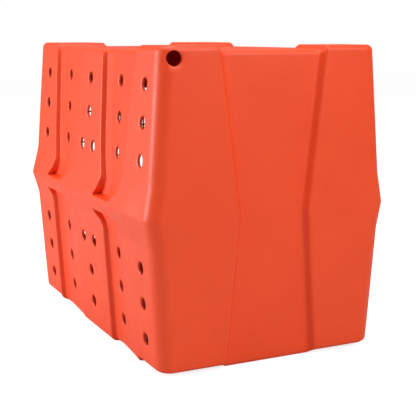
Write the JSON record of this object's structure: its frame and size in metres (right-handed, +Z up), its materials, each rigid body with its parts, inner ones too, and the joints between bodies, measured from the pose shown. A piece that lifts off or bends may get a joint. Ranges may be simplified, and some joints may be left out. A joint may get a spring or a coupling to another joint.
{
  "type": "dog kennel",
  "caption": "Hollow one-piece moulded dog kennel with round side vents, belted channelled walls, stacking pads and a swinging wire door with slide bolts.",
  "frame": {"origin": "middle of the shell's footprint, on the plane that its base rests on", "axes": "+Z up, -Y towards the door end, +Y towards the closed rear wall, +X to the right seen from the door"},
  "size_m": [0.5424, 0.792, 0.6305],
  "materials": {
    "shell_plastic": "satin moulded polyethylene",
    "coated_wire": "semi-gloss powder coat",
    "plated_steel": "zinc plated",
    "bracket_steel": "semi-gloss powder coat",
    "bush_nylon": "natural nylon",
    "grip_plastic": "textured",
    "bumper_rubber": "matte"
  },
  "bodies": {
    "shell": {"kennel_shell": "shell_plastic", "hinge_bracket_lower": "bracket_steel", "hinge_bracket_upper": "bracket_steel", "hinge_bush_lower": "bush_nylon", "hinge_bush_upper": "bush_nylon", "hinge_bolts": "plated_steel", "hinge_washers": "plated_steel", "hinge_nuts": "plated_steel", "keeper_upper": "bracket_steel", "keeper_lower": "bracket_steel", "keeper_bolts": "plated_steel", "keeper_washers": "plated_steel", "keeper_nuts": "plated_steel", "door_bumpers": "bumper_rubber"},
    "door": {"door_frame": "coated_wire", "door_wires_vertical": "coated_wire", "door_wires_horizontal": "coated_wire", "latch_plate": "coated_wire", "latch_guide_upper": "coated_wire", "latch_guide_lower": "coated_wire"},
    "latch_upper": {"latch_bolt_upper": "plated_steel", "latch_grip_upper": "grip_plastic"},
    "latch_lower": {"latch_bolt_lower": "plated_steel", "latch_grip_lower": "grip_plastic"}
  },
  "joints": [
    {"name": "door_hinge", "type": "hinge", "parent": "shell", "child": "door", "pos_m": [-0.146, -0.3825, 0.316], "axis": [0, 0, -1], "range_deg": [0, 150]},
    {"name": "latch_upper_slide", "type": "slide", "parent": "door", "child": "latch_upper", "axis": [0, 0, 1], "range_m": [0, 0.014]},
    {"name": "latch_lower_slide", "type": "slide", "parent": "door", "child": "latch_lower", "axis": [0, 0, -1], "range_m": [0, 0.014]}
  ]
}
